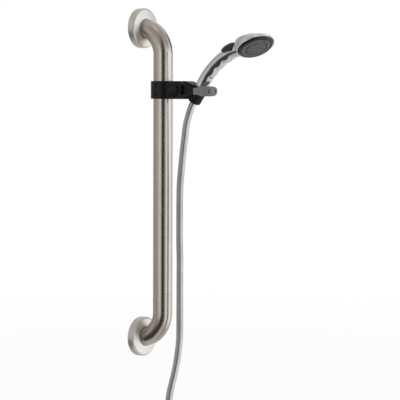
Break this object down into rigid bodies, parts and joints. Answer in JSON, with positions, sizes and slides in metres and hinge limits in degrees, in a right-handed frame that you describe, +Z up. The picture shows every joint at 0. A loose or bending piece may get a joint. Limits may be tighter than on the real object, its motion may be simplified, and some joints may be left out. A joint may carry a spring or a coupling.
{
  "type": "hand shower on grab bar",
  "caption": "Curved hand shower with a spiral hose, held in the tapered cup of a lever holder that slides and turns on a wall grab bar.",
  "frame": {"origin": "centre of the upper wall plate's back face, on the wall plane", "axes": "+Z up along the bar, +Y into the wall, +X to the right of someone facing the wall"},
  "size_m": [0.2049, 0.3218, 0.8354],
  "materials": {
    "satin_nickel": "circular brushed satin nickel",
    "steel": "plain bright steel",
    "white_nylon": "natural nylon",
    "black_plastic": "fine matt moulded black",
    "black_gloss": "gloss moulded black",
    "grey_plastic": "satin moulded dark grey",
    "face_grey": "satin moulded charcoal",
    "nozzle_rubber": "soft grey silicone",
    "black_rubber": "matt rubber",
    "plated_chrome": "chrome-plated plastic, mirror bright",
    "hose_chrome": "chrome spiral over a reinforced tube",
    "brass": "machined brass"
  },
  "bodies": {
    "wall_bar": {"grab_bar": "satin_nickel", "upper_wall_plate": "steel", "lower_wall_plate": "steel", "upper_cover": "satin_nickel", "lower_cover": "satin_nickel"},
    "liner": {"slide_liner": "white_nylon"},
    "holder": {"holder_body": "black_plastic", "collar_back": "black_plastic", "collar_screws": "steel", "cup_sleeve": "black_rubber", "lever_spring": "steel"},
    "lever": {"lever": "black_plastic", "lever_grip": "grey_plastic", "lever_pin": "steel", "pivot_cap": "black_plastic", "pin_washer": "steel", "clamp_cam": "steel"},
    "shoe": {"clamp_shoe": "black_rubber"},
    "hose": {"hose_nipple": "brass", "hose_ferrule": "hose_chrome", "hose": "hose_chrome", "hose_coil": "hose_chrome", "hose_tail": "hose_chrome", "end_ferrule": "hose_chrome", "end_nipple": "brass"},
    "hand_shower": {"handle_shell": "plated_chrome", "head_shell": "plated_chrome", "head_bezel": "black_gloss", "spray_face": "face_grey", "face_nozzles": "nozzle_rubber", "water_chamber": "white_nylon", "chamber_seal": "black_rubber", "water_tube": "white_nylon", "inlet_stub": "brass", "inlet_filter": "steel", "inlet_washer": "black_rubber", "swivel_nut": "plated_chrome", "button_spring": "steel"},
    "selector": {"selector_ring": "face_grey", "ring_nozzles": "nozzle_rubber", "diverter_disc": "white_nylon"},
    "button": {"pause_button": "black_gloss"},
    "nut": {"end_nut": "plated_chrome", "end_washer": "black_rubber"}
  },
  "joints": [
    {"name": "holder_slide", "type": "slide", "parent": "wall_bar", "child": "liner", "axis": [0, 0, 1], "range_m": [-0.415, 0.045]},
    {"name": "holder_turn", "type": "hinge", "parent": "liner", "child": "holder", "pos_m": [0, -0.05715, -0.1205], "axis": [0, 0, 1], "range_deg": [-60, 60]},
    {"name": "lever_press", "type": "hinge", "parent": "holder", "child": "lever", "pos_m": [0, -0.09415, -0.1205], "axis": [1, 0, 0], "range_deg": [0, 12], "stiffness_Nm_per_rad": 1.5, "springref_deg": -11.46},
    {"name": "shoe_slide", "type": "slide", "parent": "holder", "child": "shoe", "axis": [0, -1, 0], "range_m": [0, 0.0006]},
    {"name": "hand_lift", "type": "slide", "parent": "holder", "child": "hose", "axis": [0, -0.5225, 0.8526], "range_m": [0, 0.028]},
    {"name": "hand_swivel", "type": "hinge", "parent": "hose", "child": "hand_shower", "pos_m": [0, -0.15315, -0.1105], "axis": [0, -0.5225, 0.8526], "continuous": true},
    {"name": "spray_selector", "type": "hinge", "parent": "hand_shower", "child": "selector", "pos_m": [-0.01926, -0.29028, -0.04028], "axis": [-0.208, -0.5014, -0.8398], "range_deg": [-72, 72]},
    {"name": "pause_press", "type": "slide", "parent": "hand_shower", "child": "button", "axis": [-0.1819, -0.3186, -0.9303], "range_m": [0, 0.001], "stiffness_N_per_m": 600, "springref_m": -0.001, "deforming": ["button_spring"]},
    {"name": "wall_nut_turn", "type": "hinge", "parent": "hose", "child": "nut", "pos_m": [-0.016, -0.21, -0.78197], "axis": [-1, 0, 0], "continuous": true}
  ],
  "couplings": [
    {"joint": "shoe_slide", "follows": "lever_press", "m_per_rad": 0.0025}
  ]
}
